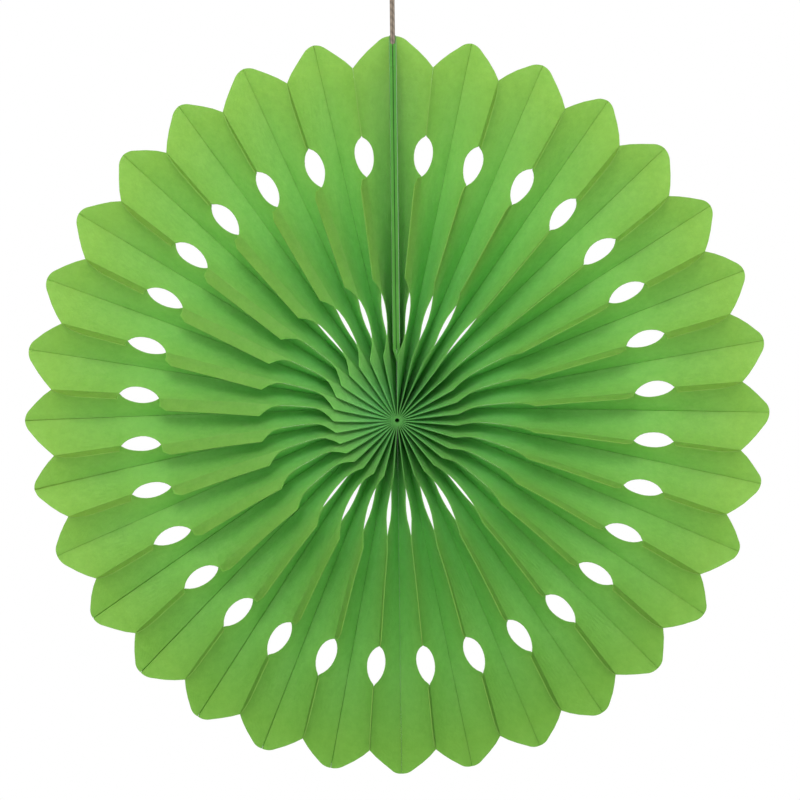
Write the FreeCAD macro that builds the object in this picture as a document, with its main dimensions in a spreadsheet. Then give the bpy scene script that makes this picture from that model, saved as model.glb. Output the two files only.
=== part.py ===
import FreeCAD, Part
import math
import os
import Sketcher

# Paper fan rosette: one long pleated strip of tissue leaves, opened into a full
# circle and closed at the top between two end cards that carry its string.
# The axis of the rosette runs along Y, its front looks along -Y, and it hangs
# with the seam at the top. The origin is the middle of the hub.

document = FreeCAD.newDocument("paper_fan_rosette")
sheet = document.addObject("Spreadsheet::Sheet", "sizes")

SIZES = {
    # the leaf, measured along it from the axis and across it from its middle
    "tip_radius": 200.0,
    "notch_drop": 14.7,
    "tip_round": 11.0,
    "side_bulge": 0.5,
    "panel_width": 22.0,
    "fin_width": 7.0,
    "fold_half": 0.33,
    # the nicks punched into the front edge of the leaves
    "outer_nick_drop": 62.0,
    "outer_nick_radius": 11.6,
    "outer_nick_inset": 2.3,
    "inner_nick_place": 53.5,
    "inner_nick_radius": 27.0,
    "inner_nick_depth": 9.4,
    # the opened circle
    "petal_spacing": 39.3,
    "seam_petal_angle": 12.7,
    "core_radius": 7.0,
    "core_bore": 1.0,
    # the end cards and the tape between them
    "card_thickness": 1.6,
    "card_start": 34.0,
    "card_skive": 6.0,
    "tape_thickness": 0.4,
    "tape_margin": 6.0,
    # the string, its knot and its loop
    "string_diameter": 2.6,
    "string_hold": 17.0,
    "string_clearance": 0.05,
    "string_free": 32.0,
    "knot_diameter": 5.8,
    "knot_height": 6.4,
    "loop_strand": 1.3,
    "loop_gap": 0.2,
    "loop_height": 26.0,
    "loop_radius": 4.5,
    "loop_bend": 6.0,
}

for row, (alias, value) in enumerate(SIZES.items(), start=1):
    sheet.set("A%d" % row, alias)
    sheet.set("B%d" % row, str(value))
    sheet.setAlias("B%d" % row, alias)
document.recompute()


def size(alias):
    return float(sheet.get(alias))


# Values that follow from the driving dimensions. The petals' spacing is the one
# along the rim, so a wider rosette gets more petals of the same leaf.
panel_half = size("panel_width") / 2
leaf_half = panel_half + size("fin_width")
notch_radius = size("tip_radius") - size("notch_drop")
string_start = size("tip_radius") - size("string_hold")
string_top = size("tip_radius") + size("string_free")
petal_count = round(2 * math.pi * size("tip_radius") / size("petal_spacing"))
seam_half_angle = math.radians(size("seam_petal_angle")) / 2
petal_half_angle = (math.pi - seam_half_angle) / (petal_count - 1)
stack_half = size("tape_thickness") / 2 + size("card_thickness")
string_depth = (leaf_half - panel_half) / 2

# Each leaf is ruled at a few distances from the axis, closer together near the
# hub, and runs past its outline, which is cut to shape afterwards.
TRIM_MARGIN = 2.0
MIDDLE_STATION = 0.3
STATION_STEPS = 4
FOLD_PLANE_TOLERANCE = 0.001

AXIS = FreeCAD.Vector(0, 1, 0)
MIDDLE = FreeCAD.Vector(0, 0, 0)
QUARTER_TURN = math.pi / 2


def half_depth(distance):
    """Half the depth from the front folds to the back folds at a distance from the axis."""
    chord = 2 * distance * math.sin(petal_half_angle / 2)
    return math.sqrt(size("panel_width") ** 2 - chord ** 2) / 2


def depth_in_fan(distance, across):
    """Where a point of the flat leaf stands in depth once the fan is open."""
    depth = half_depth(distance)
    beyond = abs(across) - panel_half
    if beyond > 0:
        return math.copysign(depth + beyond, across)
    return across * depth / panel_half


def height_in_petal(distance, across, half_angle):
    """Where a point of the flat leaf stands along the petal's middle line."""
    share = min(max((across + panel_half) / (2 * panel_half), 0.0), 1.0)
    lift = 1 + share * (1 / math.cos(petal_half_angle) - 1)
    return distance * math.cos(half_angle) * lift


def station_distances():
    first = size("core_radius") - 1.0
    last = size("tip_radius") + TRIM_MARGIN
    middle = size("tip_radius") * MIDDLE_STATION
    steps = [k / STATION_STEPS for k in range(STATION_STEPS)]
    inner = [first * (middle / first) ** step for step in steps]
    steps.append(1.0)
    outer = [middle + (last - middle) * math.sin(step * QUARTER_TURN) for step in steps]
    return inner + outer


def petal_section(distance, half_angle):
    """Corners of one petal's section, from front fold to front fold."""
    half = size("fold_half")
    depth = half_depth(distance)
    fin = depth + size("fin_width") + TRIM_MARGIN
    ridge = distance * math.sin(half_angle)
    wall = 2 * depth * half / (distance * math.sin(petal_half_angle))
    right = [
        (half, fin),
        (half, depth),
        (ridge, wall - depth),
        (ridge, -fin),
        (ridge - half, -fin),
        (ridge - half, -depth),
    ]
    left = [(-tangent, y) for tangent, y in reversed(right)]
    corners = right + [(0.0, depth - wall)] + left
    height = distance * math.cos(half_angle)
    return [FreeCAD.Vector(tangent, y, height) for tangent, y in corners]


def flat_face(points):
    return Part.Face(Part.makePolygon(points + points[:1]))


def strip_faces(low, high, inward):
    """Flat faces between two neighbouring tracks, split alike on both faces of a panel."""
    outline = Part.makePolygon(low + list(reversed(high)) + low[:1])
    if outline.findPlane():
        return [Part.Face(outline)]
    faces = []
    for k in range(len(low) - 1):
        quad = [low[k], low[k + 1], high[k + 1], high[k]]
        if inward:
            quad = [high[k], high[k + 1], low[k + 1], low[k]]
        faces.append(flat_face([quad[0], quad[1], quad[2]]))
        faces.append(flat_face([quad[0], quad[2], quad[3]]))
    return faces


def leaf_petal(half_angle):
    """One petal: two leaf panels that share a back fold, with half of each glued front fin."""
    sections = [petal_section(distance, half_angle) for distance in station_distances()]
    corner_count = len(sections[0])
    faces = [flat_face(sections[0]), flat_face(sections[-1])]
    for corner in range(corner_count):
        low = [section[corner] for section in sections]
        high = [section[(corner + 1) % corner_count] for section in sections]
        inward = abs(low[-1].x) > abs(high[-1].x)
        faces.extend(strip_faces(low, high, inward))
    shell = Part.makeShell(faces)
    shell.sewShape()
    petal = Part.makeSolid(shell)
    if petal.Volume < 0:
        petal.reverse()
    return petal


def arc_points(centre, radius, start, end, pieces):
    """Points of an arc in the flat leaf, as (distance, across), by angle from the leaf's length."""
    angles = [start + (end - start) * k / pieces for k in range(pieces + 1)]
    return [(centre[0] + radius * math.cos(a), centre[1] + radius * math.sin(a)) for a in angles]


def straight_points(first, last, pieces):
    steps = [k / pieces for k in range(pieces + 1)]
    return [tuple(a + (b - a) * step for a, b in zip(first, last)) for step in steps]


def bulged_points(first, last, bulge):
    """The two ends of a line and its middle, which stands out from it by the bulge."""
    along = last[0] - first[0]
    across = last[1] - first[1]
    share = bulge / math.hypot(along, across)
    middle = (first[0] + along / 2 + across * share, first[1] + across / 2 - along * share)
    return [first, middle, last]


# The slanted side of the leaf's end touches the round of the tip and runs
# through the notch, which lies on the front glue line.
tip_centre = (size("tip_radius") - size("tip_round"), panel_half)
notch = (notch_radius, -panel_half)
reach = math.hypot(tip_centre[0] - notch[0], tip_centre[1] - notch[1])
slant = math.atan2(tip_centre[1] - notch[1], tip_centre[0] - notch[0])
slant -= math.asin(size("tip_round") / reach)
tip_touch_angle = slant - QUARTER_TURN
tip_touch = (
    tip_centre[0] + size("tip_round") * math.cos(tip_touch_angle),
    tip_centre[1] + size("tip_round") * math.sin(tip_touch_angle),
)
corner_radius = size("fin_width") / (1 - math.cos(slant))
corner_centre = (notch[0] - corner_radius * math.sin(slant), corner_radius - leaf_half)
back_round_centre = (size("tip_radius") - size("fin_width"), panel_half)

outer_nick_place = size("tip_radius") - size("outer_nick_drop")
outer_nick_centre = (outer_nick_place, size("outer_nick_inset") - leaf_half)
outer_nick_turn = math.asin(size("outer_nick_inset") / size("outer_nick_radius"))
inner_nick_drop = size("inner_nick_radius") - size("inner_nick_depth")
inner_nick_centre = (size("inner_nick_place"), -leaf_half - inner_nick_drop)
inner_nick_spread = math.acos(inner_nick_drop / size("inner_nick_radius"))


def leaf_outline():
    """The flat leaf's outline as a loop of points, each (distance, across)."""
    inner_nick = arc_points(
        inner_nick_centre,
        size("inner_nick_radius"),
        QUARTER_TURN + inner_nick_spread,
        QUARTER_TURN - inner_nick_spread,
        5,
    )
    outer_nick = arc_points(
        outer_nick_centre,
        size("outer_nick_radius"),
        math.pi + outer_nick_turn,
        -outer_nick_turn,
        8,
    )
    corner = arc_points(corner_centre, corner_radius, -QUARTER_TURN, tip_touch_angle, 2)
    tip = arc_points(tip_centre, size("tip_round"), tip_touch_angle, 0.0, 2)
    back_round = arc_points(back_round_centre, size("fin_width"), 0.0, QUARTER_TURN, 3)
    front_inner = (size("core_bore"), -leaf_half)
    back_inner = (size("core_bore"), leaf_half)
    stretches = [
        straight_points(front_inner, inner_nick[0], 1),
        inner_nick,
        straight_points(inner_nick[-1], outer_nick[0], 1),
        outer_nick,
        straight_points(outer_nick[-1], corner[0], 1),
        corner,
        bulged_points(notch, tip_touch, size("side_bulge")),
        tip,
        back_round,
        straight_points(back_round[-1], back_inner, 3),
    ]
    loop = [stretches[0][0]]
    for stretch in stretches:
        loop.extend(stretch[1:])
    return loop


def outline_prism(half_angle):
    """The leaf outline, opened like the petal and drawn out across it."""
    reach_across = (size("tip_radius") + TRIM_MARGIN) * math.sin(half_angle) + TRIM_MARGIN
    points = [
        FreeCAD.Vector(
            -reach_across,
            depth_in_fan(distance, across),
            height_in_petal(distance, across, half_angle),
        )
        for distance, across in leaf_outline()
    ]
    return flat_face(points).extrude(FreeCAD.Vector(2 * reach_across, 0, 0))


def card_stack_room():
    """The room that the end cards take up in the seam, down to their skived ends."""
    start = size("card_start")
    end = size("tip_radius") + 2 * TRIM_MARGIN
    deep = leaf_half + 2 * TRIM_MARGIN
    corners = [
        (0.0, start - size("card_skive")),
        (stack_half, start),
        (stack_half, end),
        (-stack_half, end),
        (-stack_half, start),
    ]
    loop = [FreeCAD.Vector(x, -deep, z) for x, z in corners]
    return flat_face(loop).extrude(AXIS * 2 * deep)


def end_leaf(side):
    """The last leaf of each end, pasted flat on the outer face of its card."""
    height = size("tip_radius") + TRIM_MARGIN - size("card_start")
    width = panel_half + leaf_half + TRIM_MARGIN
    left = stack_half if side > 0 else -stack_half - size("fold_half")
    corner = FreeCAD.Vector(left, -panel_half, size("card_start"))
    return Part.makeBox(size("fold_half"), width, height, corner)


def core_sector(half_angle):
    """The share of the pressed core that belongs to one petal."""
    deep = leaf_half + TRIM_MARGIN
    across = size("core_radius") * math.sin(half_angle)
    along = size("core_radius") * math.cos(half_angle)
    corners = [(0.0, 0.0), (across, along), (-across, along)]
    loop = [FreeCAD.Vector(x, -deep, z) for x, z in corners]
    return flat_face(loop).extrude(AXIS * 2 * deep)


def faces_inside_sector(petal, half_angle):
    """A petal's faces without those in its two fold planes, where its neighbours join it."""
    kept = []
    for face in petal.Faces:
        offsets = []
        for side in (-1, 1):
            across = [
                abs(side * v.X * math.cos(half_angle) - v.Z * math.sin(half_angle))
                for v in face.Vertexes
            ]
            offsets.append(max(across))
        if min(offsets) > FOLD_PLANE_TOLERANCE:
            kept.append(face)
    return kept


def pleated_tissue_shape():
    """All petals round the axis, joined along their front folds into one solid."""
    petal = leaf_petal(petal_half_angle).fuse(core_sector(petal_half_angle))
    petal = petal.common(outline_prism(petal_half_angle)).removeSplitter()
    seam_petal = leaf_petal(seam_half_angle).cut(card_stack_room())
    seam_petal = seam_petal.multiFuse([end_leaf(-1), end_leaf(1), core_sector(seam_half_angle)])
    seam_petal = seam_petal.common(outline_prism(seam_half_angle)).removeSplitter()
    faces = faces_inside_sector(seam_petal, seam_half_angle)
    petal_faces = faces_inside_sector(petal, petal_half_angle)
    for index in range(petal_count - 1):
        angle = seam_half_angle + (2 * index + 1) * petal_half_angle
        for face in petal_faces:
            turned = face.copy()
            turned.rotate(MIDDLE, AXIS, math.degrees(angle))
            faces.append(turned)
    shell = Part.makeShell(faces)
    shell.sewShape()
    whole = Part.makeSolid(shell)
    if whole.Volume < 0:
        whole.reverse()
    return whole


def new_body(name):
    body = document.addObject("PartDesign::Body", name)
    body.Label = name
    return body


def plane_sketch(body, role):
    """A sketch on one of the body's own origin planes."""
    plane = next(f for f in body.Origin.OriginFeatures if f.Role == role)
    sketch = body.newObject("Sketcher::SketchObject", body.Name + "_sketch")
    sketch.AttachmentSupport = (plane, [""])
    sketch.MapMode = "FlatFace"
    return sketch


def bind(sketch, name, expression, *constraint):
    """Add one measured constraint and tie it to the sheet."""
    index = sketch.addConstraint(Sketcher.Constraint(*constraint))
    sketch.renameConstraint(index, name)
    sketch.setExpression("Constraints." + name, expression)


def sheet_text(expression):
    """Write every alias in an expression as a cell of the sheet."""
    words = expression.split(" ")
    return " ".join("sizes." + word if word in SIZES else word for word in words)


def draw_card_face(sketch):
    """The card's face: the leaf outline back of the front glue line, without nicks."""
    vector = FreeCAD.Vector
    top = size("tip_radius")
    low = size("card_start") - size("card_skive") * size("card_thickness") / stack_half
    normal = vector(0, 0, 1)
    tip_middle = vector(panel_half, tip_centre[0], 0)
    back_middle = vector(panel_half, back_round_centre[0], 0)
    touch = vector(tip_touch[1], tip_touch[0], 0)
    touch_angle = math.atan2(touch.y - tip_middle.y, touch.x - tip_middle.x)
    tip_circle = Part.Circle(tip_middle, normal, size("tip_round"))
    back_circle = Part.Circle(back_middle, normal, size("fin_width"))
    front_low = vector(-panel_half, low, 0)
    front_high = vector(-panel_half, notch_radius, 0)
    back_high = vector(leaf_half, back_middle.y, 0)
    back_low = vector(leaf_half, low, 0)
    geometry = [
        Part.LineSegment(front_low, front_high),
        Part.LineSegment(front_high, touch),
        Part.ArcOfCircle(tip_circle, QUARTER_TURN, touch_angle),
        Part.ArcOfCircle(back_circle, 0.0, QUARTER_TURN),
        Part.LineSegment(back_high, back_low),
        Part.LineSegment(back_low, front_low),
    ]
    sketch.addGeometry(geometry, False)
    rules = [
        ("Coincident", 0, 2, 1, 1),
        ("Tangent", 1, 2, 2, 2),
        ("Coincident", 3, 1, 4, 1),
        ("Coincident", 4, 2, 5, 1),
        ("Coincident", 5, 2, 0, 1),
        ("Vertical", 0),
        ("Vertical", 4),
        ("Horizontal", 5),
        ("Horizontal", 3, 3, 3, 1),
        ("Vertical", 2, 3, 2, 1),
        ("Vertical", 3, 3, 3, 2),
    ]
    for rule in rules:
        sketch.addConstraint(Sketcher.Constraint(*rule))
    half_panel = sheet_text("panel_width / 2")
    low_end = sheet_text(
        "card_start - card_skive * card_thickness / ( tape_thickness / 2 + card_thickness )"
    )
    bind(sketch, "front_line", half_panel, "DistanceX", 0, 2, -1, 1, panel_half)
    notch_height = sheet_text("tip_radius - notch_drop")
    bind(sketch, "notch_height", notch_height, "DistanceY", -1, 1, 0, 2, notch_radius)
    bind(sketch, "tip_across", half_panel, "DistanceX", -1, 1, 2, 3, panel_half)
    tip_height = sheet_text("tip_radius - tip_round")
    bind(sketch, "tip_height", tip_height, "DistanceY", -1, 1, 2, 3, tip_centre[0])
    bind(sketch, "tip_round", sheet_text("tip_round"), "Radius", 2, size("tip_round"))
    back_height = sheet_text("tip_radius - fin_width")
    bind(sketch, "back_across", half_panel, "DistanceX", -1, 1, 3, 3, panel_half)
    bind(sketch, "back_height", back_height, "DistanceY", -1, 1, 3, 3, top - size("fin_width"))
    bind(sketch, "back_round", sheet_text("fin_width"), "Radius", 3, size("fin_width"))
    bind(sketch, "low_end", low_end, "DistanceY", -1, 1, 4, 2, low)


def end_card(name, side):
    """One stiff end card, skived at its inner end and grooved for the string."""
    body = new_body(name)
    outline = plane_sketch(body, "YZ_Plane")
    draw_card_face(outline)
    near = "tape_thickness / 2" if side > 0 else "- tape_thickness / 2 - card_thickness"
    outline.setExpression("AttachmentOffset.Base.z", sheet_text(near))
    pad = body.newObject("PartDesign::Pad", name + "_board")
    pad.Profile = outline
    pad.setExpression("Length", sheet_text("card_thickness"))

    skive = plane_sketch(body, "XZ_Plane")
    inner_x = side * size("tape_thickness") / 2
    outer_x = side * stack_half
    low = size("card_start") - size("card_skive") * size("card_thickness") / stack_half
    corners = [
        FreeCAD.Vector(inner_x, low, 0),
        FreeCAD.Vector(outer_x, low, 0),
        FreeCAD.Vector(outer_x, size("card_start"), 0),
    ]
    for k in range(3):
        skive.addGeometry(Part.LineSegment(corners[k], corners[(k + 1) % 3]), False)
    for k in range(3):
        skive.addConstraint(Sketcher.Constraint("Coincident", k, 2, (k + 1) % 3, 1))
    skive.addConstraint(Sketcher.Constraint("Horizontal", 0))
    skive.addConstraint(Sketcher.Constraint("Vertical", 1))
    near_gap = sheet_text("tape_thickness / 2")
    far_gap = sheet_text("tape_thickness / 2 + card_thickness")
    near_ends = (-1, 1, 0, 1) if side > 0 else (0, 1, -1, 1)
    far_ends = (-1, 1, 0, 2) if side > 0 else (0, 2, -1, 1)
    rise = sheet_text("card_skive * card_thickness / ( tape_thickness / 2 + card_thickness )")
    bind(skive, "near_face", near_gap, "DistanceX", *near_ends, abs(inner_x))
    bind(skive, "far_face", far_gap, "DistanceX", *far_ends, abs(outer_x))
    bind(skive, "start", sheet_text("card_start"), "DistanceY", -1, 1, 1, 2, size("card_start"))
    bind(skive, "rise", rise, "DistanceY", 1, 1, 1, 2, size("card_start") - low)
    wedge = body.newObject("PartDesign::Pocket", name + "_skive")
    wedge.Profile = skive
    wedge.Type = "Length"
    wedge.Midplane = True
    wedge.setExpression("Length", sheet_text("( panel_width + fin_width * 2 ) * 2"))

    groove = plane_sketch(body, "XY_Plane")
    radius = size("string_diameter") / 2 + size("string_clearance")
    centre = FreeCAD.Vector(0, string_depth, 0)
    circle = Part.Circle(centre, FreeCAD.Vector(0, 0, 1), radius)
    groove.addGeometry(circle, False)
    groove.addConstraint(Sketcher.Constraint("PointOnObject", 0, 3, -2))
    depth_text = sheet_text("fin_width / 2")
    radius_text = sheet_text("string_diameter / 2 + string_clearance")
    bind(groove, "depth", depth_text, "DistanceY", -1, 1, 0, 3, string_depth)
    bind(groove, "radius", radius_text, "Radius", 0, radius)
    groove.setExpression("AttachmentOffset.Base.z", sheet_text("tip_radius - string_hold"))
    channel = body.newObject("PartDesign::Pocket", name + "_channel")
    channel.Profile = groove
    channel.Type = "Length"
    channel.Reversed = True
    channel.setExpression("Length", sheet_text("string_hold + tip_round"))
    return body


def string_knot(name):
    """The knot over the string: a barrel with flat ends."""
    body = new_body(name)
    profile = plane_sketch(body, "XZ_Plane")
    end_radius = size("string_diameter") / 2
    waist = size("knot_diameter") / 2
    low = string_top
    high = low + size("knot_height")
    slope = waist - end_radius
    corners = [
        FreeCAD.Vector(0, low, 0),
        FreeCAD.Vector(end_radius, low, 0),
        FreeCAD.Vector(waist, low + slope, 0),
        FreeCAD.Vector(waist, high - slope, 0),
        FreeCAD.Vector(end_radius, high, 0),
        FreeCAD.Vector(0, high, 0),
    ]
    count = len(corners)
    for k in range(count):
        line = Part.LineSegment(corners[k], corners[(k + 1) % count])
        profile.addGeometry(line, False)
    for k in range(count):
        profile.addConstraint(Sketcher.Constraint("Coincident", k, 2, (k + 1) % count, 1))
    rules = [
        ("Horizontal", 0),
        ("Vertical", 2),
        ("Horizontal", 4),
        ("PointOnObject", 0, 1, -2),
        ("PointOnObject", 4, 2, -2),
    ]
    for rule in rules:
        profile.addConstraint(Sketcher.Constraint(*rule))
    end_text = sheet_text("string_diameter / 2")
    waist_text = sheet_text("knot_diameter / 2")
    slope_text = sheet_text("knot_diameter / 2 - string_diameter / 2")
    base = sheet_text("tip_radius + string_free")
    bind(profile, "base", base, "DistanceY", -1, 1, 0, 1, low)
    bind(profile, "height", sheet_text("knot_height"), "DistanceY", 0, 1, 4, 2, high - low)
    bind(profile, "low_end", end_text, "DistanceX", -1, 1, 0, 2, end_radius)
    bind(profile, "high_end", end_text, "DistanceX", -1, 1, 3, 2, end_radius)
    bind(profile, "waist", waist_text, "DistanceX", -1, 1, 1, 2, waist)
    bind(profile, "low_slope", slope_text, "DistanceY", 1, 1, 1, 2, slope)
    bind(profile, "high_slope", slope_text, "DistanceY", 3, 1, 3, 2, slope)
    barrel = body.newObject("PartDesign::Revolution", name + "_barrel")
    barrel.Profile = profile
    barrel.ReferenceAxis = (profile, ["V_Axis"])
    barrel.Angle = 360.0
    body.setExpression("Placement.Base.y", sheet_text("fin_width / 2"))
    return body


def strand_section(centre, along, strand):
    """The strand's section as an eight-sided face across its path."""
    across = FreeCAD.Vector(0, 1, 0)
    outward = across.cross(along).normalize()
    points = []
    for k in range(8):
        angle = (k + 0.5) * math.pi / 4
        points.append(centre + outward * strand * math.cos(angle) + across * strand * math.sin(angle))
    return flat_face(points)


def bent_strand(centre, start, turn_axis, turn, strand):
    """A strand bent about a centre, from a start point through a turn in degrees."""
    along = turn_axis.cross(start.sub(centre))
    return strand_section(start, along, strand).revolve(centre, turn_axis, turn)


def loop_shape():
    """The loop tied over the knot: one strand drawn round a slim drop-shaped path."""
    vector = FreeCAD.Vector
    strand = size("loop_strand") / 2
    foot = strand + size("loop_gap") / 2
    bend = size("loop_bend")
    top = size("loop_radius")
    middle = size("loop_height") - top - strand
    spread = math.atan2(middle, foot + bend)
    spread -= math.acos((top + bend) / math.hypot(middle, foot + bend))
    turn = math.degrees(spread)
    pieces = []
    for side in (1, -1):
        bend_centre = vector(side * (foot + bend), 0, 0)
        start = vector(side * foot, 0, 0)
        pieces.append(bent_strand(bend_centre, start, vector(0, side, 0), turn, strand))
        lift_x = side * (foot + bend - bend * math.cos(spread))
        lift = vector(lift_x, 0, bend * math.sin(spread))
        touch = vector(side * top * math.cos(spread), 0, middle - top * math.sin(spread))
        rise = touch.sub(lift)
        pieces.append(strand_section(lift, rise, strand).extrude(rise))
    crown_start = vector(top * math.cos(spread), 0, middle - top * math.sin(spread))
    crown_turn = 180 + 2 * turn
    crown_axis = vector(0, -1, 0)
    pieces.append(bent_strand(vector(0, 0, middle), crown_start, crown_axis, crown_turn, strand))
    whole = pieces[0].multiFuse(pieces[1:])
    return whole.Solids[0] if len(whole.Solids) == 1 else whole


tissue = document.addObject("Part::Feature", "pleated_tissue")
tissue.Shape = pleated_tissue_shape()

card_right = end_card("end_card_right", 1)
card_left = end_card("end_card_left", -1)

tape = document.addObject("Part::Box", "seam_tape")
tape.setExpression("Length", sheet_text("tape_thickness"))
tape.setExpression("Width", sheet_text("panel_width + fin_width - tape_margin * 2"))
tape.setExpression("Height", sheet_text("tip_radius - string_hold - card_start"))
tape.setExpression("Placement.Base.x", sheet_text("- tape_thickness / 2"))
tape.setExpression("Placement.Base.y", sheet_text("tape_margin - panel_width / 2"))
tape.setExpression("Placement.Base.z", sheet_text("card_start"))

string = document.addObject("Part::Cylinder", "hanging_string")
string.setExpression("Radius", sheet_text("string_diameter / 2"))
string.setExpression("Height", sheet_text("string_free + string_hold"))
string.setExpression("Placement.Base.y", sheet_text("fin_width / 2"))
string.setExpression("Placement.Base.z", sheet_text("tip_radius - string_hold"))

knot = string_knot("string_knot")

loop = document.addObject("Part::Feature", "string_loop")
loop.Shape = loop_shape()
loop_base = string_top + size("knot_height")
loop.Placement = FreeCAD.Placement(
    FreeCAD.Vector(0, string_depth, loop_base), FreeCAD.Rotation()
)

document.recompute()

for item in document.Objects:
    if "Invalid" in item.State or "Error" in item.State:
        raise RuntimeError(item.Name + " did not compute")

nodes = [tissue, card_right, card_left, tape, string, knot, loop]
os.makedirs("parts", exist_ok=True)
for node in nodes:
    node.Label = node.Name
    if node.Shape.isNull() or not node.Shape.isValid():
        raise RuntimeError(node.Label + " has no valid shape")
    if len(node.Shape.Solids) != 1:
        raise RuntimeError(node.Label + " is not one solid")
    node.Shape.exportStep("parts/" + node.Label + ".step")
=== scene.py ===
"""A hanging paper fan rosette of pleated tissue, built round its fixed frame.

The frame is in metres: the rosette's axis runs along Y, its front looks along
-Y, and it hangs from its string with the seam at the top.
"""

import math

import bmesh
import bpy
from mathutils import Matrix, Vector


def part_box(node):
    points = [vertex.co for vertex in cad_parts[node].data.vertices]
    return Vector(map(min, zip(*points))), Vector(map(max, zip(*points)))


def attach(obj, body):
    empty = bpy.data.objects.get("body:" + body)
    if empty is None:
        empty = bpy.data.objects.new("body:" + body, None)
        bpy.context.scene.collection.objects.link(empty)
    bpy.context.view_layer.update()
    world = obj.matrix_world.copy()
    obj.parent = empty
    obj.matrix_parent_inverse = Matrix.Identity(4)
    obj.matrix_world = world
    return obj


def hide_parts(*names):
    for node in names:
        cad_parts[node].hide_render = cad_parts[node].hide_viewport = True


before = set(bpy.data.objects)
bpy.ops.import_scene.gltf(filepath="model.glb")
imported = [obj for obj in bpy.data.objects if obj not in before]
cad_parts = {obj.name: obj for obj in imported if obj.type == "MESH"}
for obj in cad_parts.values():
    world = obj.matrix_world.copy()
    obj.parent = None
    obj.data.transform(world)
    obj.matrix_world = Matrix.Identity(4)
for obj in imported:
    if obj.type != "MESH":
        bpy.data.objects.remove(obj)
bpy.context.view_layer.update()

bl_info = {
    "name": "Paper fan rosette",
    "version": (1, 0, 0),
    "blender": (4, 5, 0),
    "location": "View3D > Sidebar > Paper Fan",
    "description": "Builds a hanging rosette of pleated tissue leaves with its cards and string",
    "category": "Add Mesh",
}

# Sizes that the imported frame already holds.
card_low, card_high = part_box("end_card_right")
string_low, string_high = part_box("hanging_string")
knot_low, knot_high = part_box("string_knot")
loop_low, loop_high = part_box("string_loop")
tape_low, tape_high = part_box("seam_tape")

# The loop's foot: the gap between its two ends, the bend above it and the twist.
LOOP_GAP = 0.0002
LOOP_BEND = 0.006
LOOP_TWIST = 0.0034

# Points that lie closer than this are joined.
WELD = 2e-6

# Which set of small differences between the ridges is drawn.
RIDGE_SEED = 4

# Rows of points along a leaf: near the hub, between the nicks and before the notch.
HUB_ROWS = (0.006, 0.014, 0.021)
MIDDLE_ROWS = (0.083, 0.0915, 0.1, 0.1085, 0.117, 0.1225)
OUTER_ROWS = (0.154, 0.162)

# How fast the lean and the billow grow from the axis out, per metre.
LEAN_RISE = 26.0
BILLOW_RISE = 25.0
BILLOW_GRAIN = 38.0

# How far out the hub sags, and where the bend of the lower ridges begins.
SAG_REACH = 0.045
BEND_START = 0.09

# How much the leaves part at the inner nicks above and below the hub, and close at its sides.
NICK_OPENS = 0.12
NICK_CLOSES = 0.14

# Where the tissue's tones end, from the axis out, and the front-to-back and upward spans
# over which the fins' tone and the lower rim's darker tone fade. The core and hub tones are
# painted light and shade, a cool green lifted above the rim's colour in the deep pleats;
# the valleys behind the fins are painted lighter than the fins, and the darker tone low
# down is painted shade.
CORE_TONE, HUB_TONE, RIM_TONE = 0.012, 0.045, 0.185
VALLEY_PAINTED_LIGHT_SPAN = (-0.015, 0.003)
LOW_PAINTED_SHADE_SPAN = (-0.2, -0.05)

# The space that the tissue leaves free below the tape.
TAPE_GAP = 0.0001

# The white stage: its half width, the floor's height, and the backdrop's distance and height.
STAGE_HALF, FLOOR_AT, WALL_AT, WALL_TOP = 6, -1, 4, 6

# Lamps by name, place, width and power, and the point that the camera looks at.
LAMPS = (
    ("key_light", (-0.1, -1.0, 0.66), 0.45, 7.6),
    ("front_light", (0.2, -2.8, 0.3), 1.6, 2.4),
)
CAMERA_AIM = (0.0016, 0, 0.0056)


def length(name, description, default):
    return bpy.props.FloatProperty(
        name=name, description=description, default=default, subtype="DISTANCE", unit="LENGTH"
    )


def angle(name, description, default):
    return bpy.props.FloatProperty(
        name=name, description=description, default=default, subtype="ANGLE", unit="ROTATION"
    )


def colour(name, description, default):
    return bpy.props.FloatVectorProperty(
        name=name, description=description, default=default, size=3, subtype="COLOR", min=0, max=1
    )


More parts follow.
